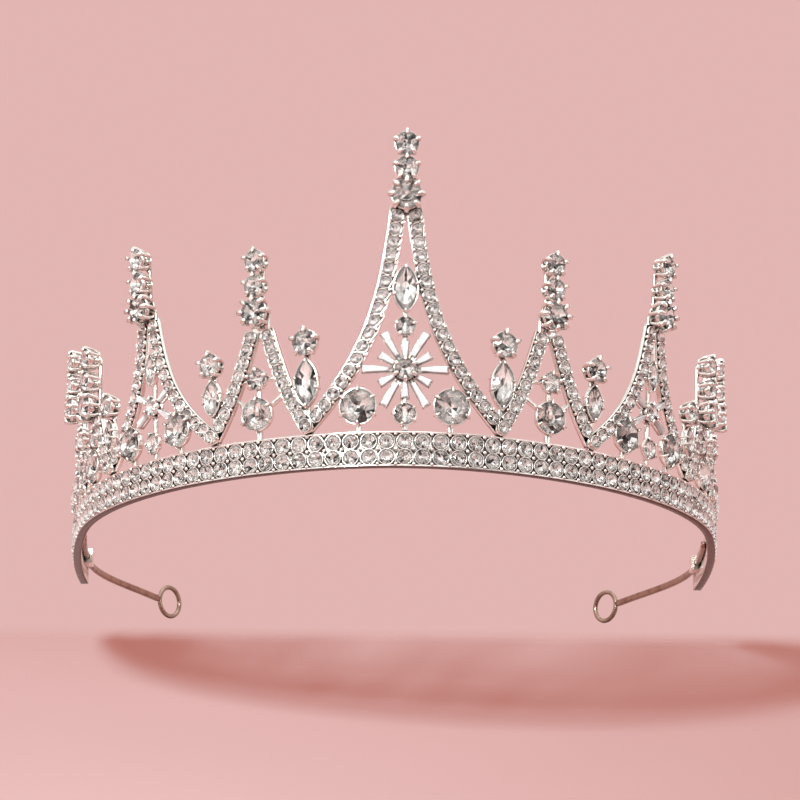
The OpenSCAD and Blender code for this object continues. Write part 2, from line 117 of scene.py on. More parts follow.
def sheet(s, z, n=0.0):
    """Developed point: s along the curve, z up, n outwards."""
    x, y, h = plan(s)
    k = n + z * math.tan(lean(s))
    return Vector((x + k * math.sin(h), y - k * math.cos(h), z))


def on_sheet(s, z, n=0.0):
    """Placement at a developed point: local Z outwards, local Y up."""
    turn = Matrix.Rotation(plan(s)[2], 4, "Z")
    tilt = Matrix.Rotation(math.pi / 2 + lean(s), 4, "X")
    return Matrix.Translation(sheet(s, z, n)) @ turn @ tilt


def flat_point(s, z, n):
    """Point of the upright band, which doesn't lean."""
    x, y, h = plan(s)
    return Vector((x + n * math.sin(h), y - n * math.cos(h), z))


def band_at(s, z, n):
    """Placement on the upright band: local Z outwards, local Y up."""
    turn = Matrix.Rotation(plan(s)[2], 4, "Z") @ Matrix.Rotation(math.pi / 2, 4, "X")
    return Matrix.Translation(flat_point(s, z, n)) @ turn


# ---------------------------------------------------------------- mesh building
class Piece:
    """Faces of one piece, each with a material index, a tint and a smooth flag."""

    def __init__(self, name, mats, faceted=False):
        self.name, self.mats, self.faceted = name, mats, faceted
        self.verts, self.faces, self.mat, self.tint, self.smooth = [], [], [], [], []

    def add(self, verts, faces, mat, at=None, tints=None, smooth=True):
        base = len(self.verts)
        self.verts += [(at @ Vector(v)) if at else Vector(v) for v in verts]
        for i, f in enumerate(faces):
            self.faces.append([base + j for j in f])
            self.mat.append(mat)
            self.tint.append(tints[i] if tints else (1.0, 1.0, 1.0))
            self.smooth.append(smooth)

    def build(self, nodes):
        mesh = bpy.data.meshes.new(self.name)
        mesh.from_pydata([v * MM for v in self.verts], [], self.faces)
        for m in self.mats:
            mesh.materials.append(m)
        mesh.polygons.foreach_set("material_index", self.mat)
        mesh.polygons.foreach_set("use_smooth", self.smooth)
        tint = mesh.attributes.new("tint", "FLOAT_COLOR", "CORNER")
        values = []
        for f, c in zip(self.faces, self.tint):
            values += [c[0], c[1], c[2], 1.0] * len(f)
        tint.data.foreach_set("color", values)
        mesh.update()
        if not self.faceted:
            solid = bmesh.new()
            solid.from_mesh(mesh)
            bmesh.ops.recalc_face_normals(solid, faces=solid.faces)
            solid.to_mesh(mesh)
            solid.free()
        obj = bpy.data.objects.new(self.name, mesh)
        bpy.context.scene.collection.objects.link(obj)
        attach(obj, "root")
        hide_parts(*nodes)


def lathe(piece, at, profile, n, mat):
    """Turned skin of (radius, height) points; a radius of 0 becomes one point."""
    verts, rings, faces = [], [], []
    for r, z in profile:
        if r == 0:
            rings.append([len(verts)])
            verts.append((0.0, 0.0, z))
        else:
            rings.append(list(range(len(verts), len(verts) + n)))
            for i in range(n):
                a = 2 * math.pi * i / n
                verts.append((r * math.cos(a), r * math.sin(a), z))
    for lo, hi in zip(rings, rings[1:]):
        for i in range(n):
            j = (i + 1) % n
            if len(lo) == 1:
                faces.append((lo[0], hi[j], hi[i]))
            elif len(hi) == 1:
                faces.append((lo[i], lo[j], hi[0]))
            else:
                faces.append((lo[i], lo[j], hi[j], hi[i]))
    piece.add(verts, faces, mat, at)


def loft(piece, sections, mat, closed=False, at=None, smooth=True):
    """Skin through equal closed sections, capped unless it closes on itself."""
    m, faces = len(sections[0]), []
    verts = [p for sec in sections for p in sec]
    last = len(sections) if closed else len(sections) - 1
    for i in range(last):
        a, b = i * m, ((i + 1) % len(sections)) * m
        for j in range(m):
            k = (j + 1) % m
            faces.append((a + j, a + k, b + k, b + j))
    if not closed:
        faces.append(tuple(range(m - 1, -1, -1)))
        faces.append(tuple(range(len(verts) - m, len(verts))))
    piece.add(verts, faces, mat, at, smooth=smooth)


def tube(piece, at, path, radii, mat, sides=8):
    """Round wire along a path, with domed ends."""
    pts = [Vector(p) for p in path]
    first, last = pts[0], pts[-1]
    d0 = (pts[0] - pts[1]).normalized()
    d1 = (pts[-1] - pts[-2]).normalized()
    pts = [first + d0 * radii[0] * 0.6, first + d0 * radii[0] * 0.3] + pts
    pts += [last + d1 * radii[-1] * 0.3, last + d1 * radii[-1] * 0.6]
    rad = [radii[0] * 0.3, radii[0] * 0.8] + list(radii) + [radii[-1] * 0.8, radii[-1] * 0.3]
    normal, sections = None, []
    for i, p in enumerate(pts):
        t = (pts[min(i + 1, len(pts) - 1)] - pts[max(i - 1, 0)]).normalized()
        if normal is None:
            up = Vector((0, 0, 1)) if abs(t.z) < 0.9 else Vector((1, 0, 0))
            normal = t.cross(up).normalized()
        normal = (normal - t * normal.dot(t)).normalized()
        side = t.cross(normal)
        sections.append([
            p + rad[i] * (normal * math.cos(a) + side * math.sin(a))
            for a in [2 * math.pi * k / sides for k in range(sides)]
        ])
    loft(piece, sections, mat, at=at)


def squared(k, count, power):
    """Point k of count round a circle that is pushed out towards a square."""
    c = math.cos(2 * math.pi * k / count)
    q = math.sin(2 * math.pi * k / count)
    return math.copysign(abs(c) ** power, c), math.copysign(abs(q) ** power, q)


def bar(piece, s1, z1, s2, z2, w, n0, n1, mat):
    """Rounded bar lying on the sheet between two developed points."""
    a, b = Vector((s1, z1)), Vector((s2, z2))
    d = (b - a).normalized()
    side = Vector((-d.y, d.x)) * w / 2
    mid, half = (n0 + n1) / 2, (n1 - n0) / 2
    ring = [squared(k, 12, 0.5) for k in range(12)]
    sections, steps = [], 8
    for i in range(steps + 1):
        p = a + (b - a) * i / steps
        sections.append([
            sheet(p.x + side.x * c, p.y + side.y * c, mid + half * q) for c, q in ring
        ])
    loft(piece, sections, mat)


# ---------------------------------------------------------------- stones
# Material slots of a cut stone: glass over foil, or milk glass alone.
GLASS, FOIL = 0, 1
MILK = 0
# Share of foil facets with a painted dark reflection, and what it is multiplied by on a stone of
# BOLD_FROM or more across.
DARK_REFLECTION_SHARE, BOLD, BOLD_FROM = 0.08, 1.9, 4.0
NAVETTE_DARK_REFLECTION = 0.1
rng = random.Random(11)


def painted_facet_reflection(dark):
    """Painted reflection of one foil facet: mostly bright, some mid grey, a few dark or warm."""
    q = rng.random()
    if q < dark:
        g = rng.uniform(0.01, 0.06)
        return (g, g * 0.9, g * 0.85)
    if q < dark * 2.2:
        g = rng.uniform(0.25, 0.5)
        return (g, g * 0.93, g * 0.86)
    if q < 0.42:
        g = rng.uniform(0.7, 0.88)
        return (g, g * 0.98, g * 0.94)
    g = rng.uniform(0.95, 1.0)
    return (g, g * 0.985, g * 0.95)


def gem(piece, at, outline, height, depth, dark):
    """Brilliant cut on any outline: a glass crown over foiled pavilion facets.
    outline(k) gives the girdle point for k of 16 steps round."""
    girdle = [Vector((*outline(k), 0.05 * height)) for k in range(16)]
    under = [Vector((g.x, g.y, -0.12 * height)) for g in girdle]
    table = [Vector((girdle[2 * k].x * 0.55, girdle[2 * k].y * 0.55, height)) for k in range(8)]
    star = [Vector((girdle[2 * k + 1].x * 0.76, girdle[2 * k + 1].y * 0.76, height * 0.66))
            for k in range(8)]
    crown = girdle + under + table + star
    faces = [tuple(range(32, 40))]
    for k in range(8):
        j = (k + 1) % 8
        prev = (k - 1) % 8
        faces.append((32 + k, 40 + k, 32 + j))
        faces.append((32 + k, 40 + prev, 2 * k, 40 + k))
        faces.append((40 + k, 2 * k, 2 * k + 1))
        faces.append((40 + k, 2 * k + 1, 2 * j))
    for k in range(16):
        j = (k + 1) % 16
        faces.append((k, 16 + k, 16 + j, j))
    piece.add(crown, faces, GLASS, at, smooth=False)
    lower = [Vector((girdle[2 * k + 1].x * 0.36, girdle[2 * k + 1].y * 0.36, -depth * 0.72))
             for k in range(8)]
    culet = Vector((0, 0, -depth))
    pavilion = under + lower + [culet]
    faces, tints = [], []
    for k in range(8):
        j = (k + 1) % 8
        prev = (k - 1) % 8
        faces.append((24, 16 + prev, 16 + k))
        faces.append((16 + prev, 2 * k, 16 + k))
        faces.append((16 + k, 2 * k, 2 * k + 1))
        faces.append((16 + k, 2 * k + 1, 2 * j))
        # Each facet gets a painted reflection: bright, grey, dark or warm.
        a = painted_facet_reflection(dark)
        b = painted_facet_reflection(dark * 1.8)
        tints += [b, a, painted_facet_reflection(dark * 0.6), painted_facet_reflection(dark * 0.6)]
    piece.add(pavilion, faces, FOIL, at, tints=tints, smooth=False)


def round_stone(piece, at, d):
    r = d / 2
    dark = DARK_REFLECTION_SHARE * (1.0 if d < BOLD_FROM else BOLD)
    turn = rng.uniform(0, math.pi / 4)

    def outline(k):
        a = math.pi * k / 8 + turn
        return r * math.cos(a), r * math.sin(a)

    gem(piece, at, outline, 0.36 * r, 0.55 * r, dark)


def lens_outline(l, w):
    """Girdle of a navette, l long in Y and w wide in X, as a function of the 16 steps."""
    big = (l * l + w * w) / 4 / w
    a = big - w / 2

    def outline(k):
        u = math.pi * k / 8
        phi = math.atan2(l * math.sin(u), w * math.cos(u))
        c = abs(math.cos(phi))
        rho = -a * c + math.sqrt(a * a * c * c + big * big - a * a)
        return rho * math.cos(phi), rho * math.sin(phi)

    return outline


def navette_stone(piece, at, l, w):
    gem(piece, at, lens_outline(l, w), 0.85, 0.5, NAVETTE_DARK_REFLECTION)


def baguette(piece, at, l, w1, w2):
    """Tapered step-cut stone with softened edges."""
    def ring(inset, z):
        a, b = w1 / 2 - inset * 0.6, w2 / 2 - inset * 0.7
        x0, x1, c = inset, l - inset, 0.12
        return [(x0, -a + c, z), (x0 + c, -a, z), (x1 - c, -b, z), (x1, -b + c, z),
                (x1, b - c, z), (x1 - c, b, z), (x0 + c, a, z), (x0, a - c, z)]

    rings = [ring(0.12, 0.0), ring(0.0, 0.15), ring(0.0, 0.62), ring(0.14, 0.85), ring(0.3, 1.03)]
    loft(piece, rings, MILK, at=at, smooth=False)


# ---------------------------------------------------------------- settings
# Material slot of a metal piece, and the depth of the fixings on the back and front of a strip.
METAL = 0
BACK_N, FRONT_N = -0.5, 0.5
# Girdles of a motif's stones, of its bezels and of the stone under a flake, outwards from the
# sheet. Then the height at which a post meets the band.
MOTIF_N, BEZEL_N, LOW_STONE_N = 1.2, 1.3, 1
POST_Z = BAND_H - 0.8


def claw(piece, at, angle, r, foot, girdle_z, tip_z, width, lean_in=0.8):
    """Bent wire claw from the base, past the girdle, ending in a ball over the crown."""
    def p(q, z):
        return (q * math.cos(angle), q * math.sin(angle), z)

    path = [p(r * 0.8, foot), p(r * 0.98, foot * 0.66), p(r * 1.06, foot * 0.3),
            p(r * 1.12, girdle_z), p(r * 1.06, tip_z * 0.75), p(r * lean_in, tip_z)]
    tube(piece, at, path, [width * 0.9, width, width, width * 1.1, width * 1.35, width * 1.1], METAL, 8)


def basket(piece, at, d, h, claws):
    """Turned base, waisted post where there is room, and a cupped seat, inside a ring of claws."""
    r = d / 2
    profile = [(0, -h), (r * 0.78, -h), (r * 0.86, -h + 0.12), (r * 0.88, -h + 0.4)]
    if h > 0.7 * r + 0.8:
        profile += [(r * 0.8, -h + 0.52), (r * 0.46, -h + 0.64), (r * 0.44, -0.72 * r)]
    profile += [(r * 0.98, -0.34 * r), (r * 1.04, -0.1), (r * 1.01, 0.02), (r * 0.96, -0.04),
                (r * 0.93, -0.1 * r), (r * 0.36, -0.59 * r), (0, -0.62 * r)]
    lathe(piece, at, profile, 24, METAL)
    for i in range(claws):
        a = math.pi / 2 + 2 * math.pi * i / claws
        claw(piece, at, a, r, 0.3 - h, 0.0, r * 0.34, r * 0.15)


def bezel(piece, at, d, h, claws=6):
    """Closed cup with a soft rim and small grains pressed over the stone."""
    r = d / 2
    lathe(piece, at, [(0, -h), (r * 0.5, -h), (r * 0.9, -h + 0.25), (r + 0.15, -h + 0.7),
                      (r + 0.26, -0.5), (r + 0.28, -0.05), (r + 0.2, 0.08), (r + 0.07, 0.06),
                      (r + 0.02, -0.06), (r + 0.02, -0.3), (r * 0.5, -0.56 * r), (0, -0.57 * r)],
          32, METAL)
    for i in range(claws):
        a = math.pi / claws + 2 * math.pi * i / claws
        claw(piece, at, a, r + 0.12, -h * 0.8, 0.0, 0.238 * r, 0.24, 0.86)


def stone_cup(piece, at, d, depth=0.55):
    """Thin rolled rim round a small stone."""
    r = d / 2
    lathe(piece, at, [(r + 0.08, -depth), (r + 0.14, -0.1), (r + 0.12, 0.06), (r + 0.05, 0.12),
                      (r - 0.04, 0.1), (r - 0.02, -0.1)], 20, METAL)


def bead(piece, at, r, h):
    """Raised grain of metal."""
    lathe(piece, at, [(r, -h), (r, h * 0.2), (r * 0.8, h * 0.65), (r * 0.4, h * 0.92), (0, h)],
          8, METAL)


def navette_cup(piece, at, l, w, h):
    """Pointed cup with a rolled rim, a claw at each point and two on each side."""
    out, inn = lens_outline(l + 0.8, w + 0.62), lens_outline(l + 0.02, w + 0.02)
    steps = [k / 2 for k in range(32)]
    rows = [(inn, -0.5), (inn, 0.02), (lens_outline(l + 0.4, w + 0.3), 0.14), (out, 0.02),
            (out, -h + 0.4), (inn, -h)]
    verts = [(*o(k), z) for o, z in rows for k in steps]
    n, faces = len(steps), []
    for i in range(len(rows) - 1):
        for k in range(n):
            j = (k + 1) % n
            faces.append((i * n + k, (i + 1) * n + k, (i + 1) * n + j, i * n + j))
    faces.append(tuple((len(rows) - 1) * n + k for k in range(n)))
    piece.add(verts, faces, METAL, at)
    for side in (-1, 1):
        for dx, dy, tip in ((0.0, l / 2 + 0.1, 0.62), (w / 2 + 0.1, l * 0.12, 0.5),
                            (w / 2 + 0.1, -l * 0.12, 0.5)):
            at_point = dx == 0
            p = Vector((side * dx, side * dy if at_point else dy, 0))
            path = [p + Vector((0, 0, -h + 0.2)), p * 1.04, p * 1.02 + Vector((0, 0, tip * 0.7)),
                    p * (0.88 if at_point else 0.8) + Vector((0, 0, tip))]
            tube(piece, at, path, [0.26, 0.28, 0.26, 0.2], METAL, 8)


# ---------------------------------------------------------------- spires
def leg_h(p, t):
    """Distance of a leg's centre line from the axis, at a share t of the way down."""
    return LEG_TOP + (p.foot - LEG_TOP) * (p.bow * t + (1 - p.bow) * t ** 3)


def leg_z(p, t):
    """Height of a leg's centre line, at a share t of the way down."""
    return p.leg + (FOOT_Z - p.leg) * t


def leg_side(p, side, t, c):
    """Distance from the axis and height of a point that lies c across the leg."""
    e = 0.01
    a = math.atan2(leg_z(p, t + e) - leg_z(p, t - e), leg_h(p, t + e) - leg_h(p, t - e))
    return side * (leg_h(p, t) - c * math.sin(a)), leg_z(p, t) + c * math.cos(a)


def axis_at(p, z):
    """Place of a spire's axis along the curve at a height z."""
    return p.s - p.slant * (z - FOOT_Z)


LEG_STEPS = 120


def leg_step(p, i):
    """Length of one of the LEG_STEPS chords of a leg's centre line."""
    a, b = i / LEG_STEPS, (i + 1) / LEG_STEPS
    return math.hypot(leg_h(p, b) - leg_h(p, a), leg_z(p, b) - leg_z(p, a))


def leg_share(p, length):
    """Share of the leg reached after a length measured down its centre line."""
    done = 0.0
    for i in range(LEG_STEPS):
        d = leg_step(p, i)
        if done + d >= length:
            return i / LEG_STEPS + (length - done) / d / LEG_STEPS
        done += d
    return 1.0


def leg_length(p):
    return sum(leg_step(p, i) for i in range(LEG_STEPS))


# Across the leg and outwards: a flat strip with two low lips.
LEG_SECTION = [
    (-1.5, 0.14), (-1.5, 0.98), (-1.45, 1.08), (-1.38, 1.1), (-1.31, 1.04), (-1.28, 0.92),
    (1.28, 0.92), (1.31, 1.04), (1.38, 1.1), (1.45, 1.08), (1.5, 0.98), (1.5, 0.14), (1.36, 0.0),
    (-1.36, 0.0),
]


def spire_frame(piece, p, flip):
    """The two legs, which overrun their ends a little."""
    for side in (-1, 1):
        rows, steps = [], 40
        for i in range(steps + 1):
            t = -0.02 + 1.03 * i / steps
            row = []
            for c, q in LEG_SECTION:
                h, z = leg_side(p, side, t, c)
                row.append(sheet(flip * (axis_at(p, leg_z(p, t)) + h), z, q - LEG_T / 2))
            rows.append(row)
        loft(piece, rows, METAL)


# Share of a pitch that lies above the first stone of a leg.
PAVE_START = 0.35


def pave_spots(p, flip):
    """Spots of the leg stones."""
    total = leg_length(p)
    count = int(total / PAVE_PITCH)
    for side in (-1, 1):
        for i in range(count):
            t = leg_share(p, (i + PAVE_START) * total / (count + PAVE_START))
            yield flip * (axis_at(p, leg_z(p, t)) + side * leg_h(p, t)), leg_z(p, t)


def pave_beads(p, flip):
    """Spots between neighbouring leg stones, on both edges."""
    total = leg_length(p)
    count = int(total / PAVE_PITCH)
    for side in (-1, 1):
        for i in range(count - 1):
            t = leg_share(p, (i + PAVE_START + 0.5) * total / (count + PAVE_START))
            for c in (-1.12, 1.12):
                h, z = leg_side(p, side, t, c)
                yield flip * (axis_at(p, leg_z(p, t)) + h), z


def finial_stones(p, flip):
    """Placement and size of the three stones on a spire's top."""
    for i, gap in enumerate(FIN_GAPS):
        z = p.top - gap
        size = (FIN_BIG_D if i == 2 else FIN_D) * (FIN_MID if p.name == "c" else 1.0)
        yield on_sheet(flip * axis_at(p, z), z, LEG_T / 2 + BASKET_H), size, 8 if i == 2 else 5


def spire_finial(piece, p, flip):
    """Plate over the leg tops, post, and a basket for each stone."""
    low = p.top - FIN_GAPS[2]
    for z0, z1, width in ((p.leg - 1.5, low, 2 * LEG_TOP + 1), (low, p.top + 0.5, 1.6)):
        bar(piece, flip * axis_at(p, z0), z0, flip * axis_at(p, z1), z1, width, -LEG_T / 2,
            LEG_T / 2 - 0.1, METAL)
    for at, d, claws in finial_stones(p, flip):
        basket(piece, at, d, BASKET_H + 0.1, claws)


# Heights and sizes of the parts of a spire's motif.
def flake_z(p):
    """Height of the flake's centre."""
    return FOOT_Z + 10.9 * p.scale


def flake_d(p):
    """Diameter of the flake's centre stone."""
    return 4.4 * p.scale


def bud_z(p):
    """Height of the small round stone between full flake and navette."""
    return flake_z(p) + 8.6 * p.scale


def bud_d(p):
    return 4 * p.scale


def nav_z(p):
    """Height of the navette's centre."""
    return flake_z(p) + (16.2 if p.kind == FULL_FLAKE else 8.8 * p.scale)


def nav_l(p):
    """Length of the navette. It is half as wide."""
    return 9.4 if p.kind == FULL_FLAKE else 6.8 * p.scale


def big_z(p):
    """Height of the bezel-set stones at the foot."""
    return BAND_H + 5 * math.sqrt(p.scale) if p.kind != ROUND else 12.2 * math.sqrt(p.scale)


def big_s(p):
    """Distance of the bezel-set stones from the axis, beside a flake."""
    return 10.5 * p.scale - 1.5


def big_d(p):
    return 3.5 + 3.5 * p.scale if p.kind != ROUND else 6.4


def low_d(p):
    """Diameter of the stone on the stem under a flake."""
    return 4.2 * math.sqrt(p.scale)


def top_z(p):
    """Height of the small stone above the bezel of a round motif."""
    return 19.4 - 14 * (1 - p.scale)


def top_d(p):
    return 4.2 * p.scale


# Width of a baguette at its inner and outer end, before scaling.
CUT_IN, CUT_OUT = 0.9, 1.6


def flake_arms(p):
    """Angle, start and end of each baguette of a flake, before scaling."""
    if p.kind == FULL_FLAKE:
        return [(30 * i, *((2.5, 5.8) if i % 2 else (3.1, 8.5))) for i in range(12)]
    return [(a, 2.4, 6.6) for a in (30, 150, 210, 330)]


def cross_link(piece, p, s, z, w):
    """Thin bar from leg to leg."""
    h = leg_h(p, (p.leg - z) / (p.leg - FOOT_Z))
    bar(piece, s - h, z, s + h, z, w, BACK_N, FRONT_N, METAL)


def round_settings(piece, p, flip):
    """Claw basket over a bezel, on a post, with a link from the bezel to each leg."""
    s, k = flip * p.s, p.scale
    basket(piece, on_sheet(s, top_z(p), MOTIF_N), top_d(p), 1.7, 5)
    cross_link(piece, p, s, top_z(p), 0.8)
    bar(piece, s, 12, s, top_z(p), 1.0, BACK_N, FRONT_N, METAL)
    bezel(piece, on_sheet(s, big_z(p), BEZEL_N), big_d(p), 1.8)
    bar(piece, s, POST_Z, s, 10, 1.2, BACK_N, FRONT_N, METAL)
    link_z = leg_z(p, 0.62)
    for g in (-1, 1):
        end = flip * axis_at(p, link_z) + g * leg_h(p, 0.62)
        bar(piece, s + g * 2.4, 14 * k, end, link_z, 0.9, BACK_N, FRONT_N, METAL)


def flake_settings(piece, p, flip):
    """Flake with its trays, navette cup above, a bezel on each side and one below."""
    s, k = flip * p.s, p.scale
    fz = flake_z(p)
    basket(piece, on_sheet(s, fz, MOTIF_N), flake_d(p), 1.8, 6)
    lathe(piece, on_sheet(s, fz, 0), [(0, -0.55), (2.5 * k, -0.55), (2.6 * k, -0.4), (2.6 * k, 0.0),
                                      (0, 0.05)], 24, METAL)
    for turn, start, end in flake_arms(p):
        at = on_sheet(s, fz, 0) @ Matrix.Rotation(math.radians(turn), 4, "Z")
        baguette_tray(piece, at, start * k, end * k, CUT_OUT * k)
    bar(piece, s, fz + k, s, nav_z(p), 1.1, BACK_N, 0.4, METAL)
    cross_link(piece, p, s, nav_z(p), 0.9)
    if p.kind == FULL_FLAKE:
        basket(piece, on_sheet(s, bud_z(p), MOTIF_N), bud_d(p), 1.8, 5)
    navette_cup(piece, on_sheet(s, nav_z(p), MOTIF_N), nav_l(p), nav_l(p) * 0.5, 1.5)
    for g in (-1, 1):
        gs = s + g * big_s(p)
        bezel(piece, on_sheet(gs, big_z(p), BEZEL_N), big_d(p), 1.8)
        bar(piece, gs, POST_Z, gs, big_z(p) - 2.2, 1.2, BACK_N, FRONT_N, METAL)
    bezel(piece, on_sheet(s, LOW_STONE_Z, LOW_STONE_N), low_d(p), 1.4, 5)
    bar(piece, s, POST_Z, s, fz - 2 * k, 1.1, BACK_N, FRONT_N, METAL)


def baguette_tray(piece, at, x0, x1, w):
    """Strip from the centre plate under a baguette, turned up round it, with two claws outside."""
    a, b = w * 0.3, w * 0.5
    root, rows, steps = 0.8, [], 4
    for i in range(steps + 1):
        x = root + (x1 + 0.12 - root) * i / steps
        q = min(1.0, max(0.0, (x - x0) / (x1 - x0)))
        c = a + (b - a) * q
        rows.append([(x, -c - 0.1, -0.5), (x, -c - 0.16, 0.3), (x, -c - 0.02, 0.36),
                     (x, -c + 0.02, 0.04), (x, c - 0.02, 0.04), (x, c + 0.02, 0.36),
                     (x, c + 0.16, 0.3), (x, c + 0.1, -0.5)])
    loft(piece, rows, METAL, at=at)
    for side in (-1, 1):
        tube(piece, at, [(x1 + 0.08, side * b * 0.7, -0.3), (x1 + 0.12, side * b * 0.72, 0.7),
                         (x1 - 0.18, side * b * 0.66, 1.02)], [0.15, 0.16, 0.12], METAL, 6)


def spire_stones(piece, p, flip):
    """Stones of the finial, then those of the motif."""
    s = flip * p.s
    for at, d, _ in finial_stones(p, flip):
        round_stone(piece, at, d)
    if p.kind == ROUND:
        round_stone(piece, on_sheet(s, top_z(p), MOTIF_N), top_d(p))
        round_stone(piece, on_sheet(s, big_z(p), BEZEL_N), big_d(p))
        return
    round_stone(piece, on_sheet(s, flake_z(p), MOTIF_N), flake_d(p))
    if p.kind == FULL_FLAKE:
        round_stone(piece, on_sheet(s, bud_z(p), MOTIF_N), bud_d(p))
    navette_stone(piece, on_sheet(s, nav_z(p), MOTIF_N), nav_l(p), nav_l(p) * 0.5)
    for g in (-1, 1):
        round_stone(piece, on_sheet(s + g * big_s(p), big_z(p), BEZEL_N), big_d(p))
    round_stone(piece, on_sheet(s, LOW_STONE_Z, LOW_STONE_N), low_d(p))


# ---------------------------------------------------------------- materials
def nodes_of(name):
    """New material, its node tree and its shader."""
    mat = bpy.data.materials.new(name)
    mat.use_nodes = True
    tree = mat.node_tree
    shader = tree.nodes["Principled BSDF"]
    return mat, tree, shader


def noise(tree, scale, detail=3.0, rough=0.55):
    """Noise fixed to the object, scale cells a metre."""
    coord = tree.nodes.new("ShaderNodeTexCoord")
    tex = tree.nodes.new("ShaderNodeTexNoise")
    tex.inputs["Scale"].default_value = scale
    tex.inputs["Detail"].default_value = detail
    tex.inputs["Roughness"].default_value = rough
    tree.links.new(coord.outputs["Object"], tex.inputs["Vector"])
    return tex.outputs["Fac"]


def ramp(tree, source, stops):
    """Colour ramp through (position, colour) stops."""
    node = tree.nodes.new("ShaderNodeValToRGB")
    tree.links.new(source, node.inputs["Fac"])
    while len(node.color_ramp.elements) < len(stops):
        node.color_ramp.elements.new(0.5)
    for el, (pos, col) in zip(node.color_ramp.elements, stops):
        el.position = pos
        el.color = (*col, 1.0)
    return node.outputs["Color"]


def grey(v):
    return (v, v, v)


def mixed(tree, kind, factor, a, b):
    """Two colours blended in the given way. The factor is a number or a socket."""
    node = tree.nodes.new("ShaderNodeMix")
    node.data_type = "RGBA"
    node.blend_type = kind
    if isinstance(factor, float):
        node.inputs["Factor"].default_value = factor
    else:
        tree.links.new(factor, node.inputs["Factor"])
    tree.links.new(a, node.inputs["A"])
    tree.links.new(b, node.inputs["B"])
    return node.outputs["Result"]


def bump(tree, shader, source, strength, distance):
    node = tree.nodes.new("ShaderNodeBump")
    node.inputs["Strength"].default_value = strength
    node.inputs["Distance"].default_value = distance
    tree.links.new(source, node.inputs["Height"])
    tree.links.new(node.outputs["Normal"], shader.inputs["Normal"])


# How far the painted shade in the recesses reaches, and the depth of the cast ripple, in metres.
RECESS_SHADE_REACH, RIPPLE = 0.0011, 0.00006


def metal_material(name, clean, worn, recess_shade, rough_lo, rough_hi, cast):
    """Plated metal: cast ripple, patches of duller plating, smears, and painted shade darkening the
    recesses.
    """
    mat, tree, shader = nodes_of(name)
    shader.inputs["Metallic"].default_value = 1.0
    patches = noise(tree, 260.0, 5.0, 0.6)
    plating = ramp(tree, patches, [(0.3, worn), (0.52, clean), (0.8, clean)])
    # Painted shade: the colour darkens to the recess colour where ambient occlusion finds a hollow.
    hollow = tree.nodes.new("ShaderNodeAmbientOcclusion")
    hollow.samples = 6
    hollow.inputs["Distance"].default_value = RECESS_SHADE_REACH
    shade = ramp(tree, hollow.outputs["AO"], [(0.18, recess_shade), (0.62, (1.0, 1.0, 1.0))])
    tree.links.new(mixed(tree, "MULTIPLY", 1.0, plating, shade), shader.inputs["Base Color"])
    smears = noise(tree, 900.0, 4.0, 0.65)
    tree.links.new(ramp(tree, smears, [(0.3, grey(rough_lo)), (0.75, grey(rough_hi))]),
                   shader.inputs["Roughness"])
    bump(tree, shader, noise(tree, 1500.0, 3.0, 0.5), cast, RIPPLE)
    return mat


def foil_material(name, rough):
    """Foiled back of a stone: each facet has its own grey, a painted reflection."""
    mat, tree, shader = nodes_of(name)
    shader.inputs["Metallic"].default_value = 0.8
    # Painted reflection: the tint attribute gives each facet its bright or dark grey.
    tint = tree.nodes.new("ShaderNodeAttribute")
    tint.attribute_name = "tint"
    cloud = ramp(tree, noise(tree, 1800.0, 2.0), [(0.2, grey(0.86)), (0.7, grey(1.0))])
    tree.links.new(mixed(tree, "MULTIPLY", 1.0, tint.outputs["Color"], cloud),
                   shader.inputs["Base Color"])
    tree.links.new(ramp(tree, noise(tree, 2600.0, 3.0), [(0.3, grey(rough * 0.6)),
                                                         (0.8, grey(rough * 1.6))]),
                   shader.inputs["Roughness"])
    return mat


def glass_material(name):
    """Crown of a stone: clear glass with faint surface scuffs."""
    mat, tree, shader = nodes_of(name)
    shader.inputs["Transmission Weight"].default_value = 1.0
    shader.inputs["IOR"].default_value = 1.55
    tree.links.new(ramp(tree, noise(tree, 700.0, 4.0), [(0.35, grey(0.0)), (0.8, grey(0.035))]),
                   shader.inputs["Roughness"])
    tree.links.new(ramp(tree, noise(tree, 300.0), [(0.3, (0.97, 0.97, 0.98)), (0.7, grey(1.0))]),
                   shader.inputs["Base Color"])
    return mat


def milk_material(name):
    """Milky opal glass with soft clouds and a polished surface."""
    mat, tree, shader = nodes_of(name)
    shader.inputs["Coat Weight"].default_value = 1.0
    shader.inputs["Coat Roughness"].default_value = 0.05
    clouds = noise(tree, 420.0, 4.0)
    tree.links.new(ramp(tree, clouds, [(0.3, (0.3, 0.27, 0.27)), (0.5, (0.5, 0.48, 0.48)),
                                       (0.72, (0.66, 0.63, 0.61))]),
                   shader.inputs["Base Color"])
    tree.links.new(ramp(tree, noise(tree, 900.0), [(0.3, grey(0.12)), (0.7, grey(0.26))]),
                   shader.inputs["Roughness"])
    return mat


# The third colour of each metal is its painted shade in the recesses.
plated = metal_material("plated", (0.9, 0.87, 0.83), (0.74, 0.68, 0.62), (0.06, 0.045, 0.04),
                        0.06, 0.22, 0.5)
band_plated = metal_material("band_plated", (0.93, 0.9, 0.86), (0.78, 0.7, 0.64),
                             (0.05, 0.04, 0.035), 0.1, 0.28, 0.6)
wire_metal = metal_material("wire_metal", (0.42, 0.29, 0.23), (0.24, 0.14, 0.1), (0.14, 0.08, 0.06),
                            0.12, 0.34, 0.4)
foil = foil_material("crystal_foil", 0.15)
glass = glass_material("crystal_glass")
milk = milk_material("milk_glass")

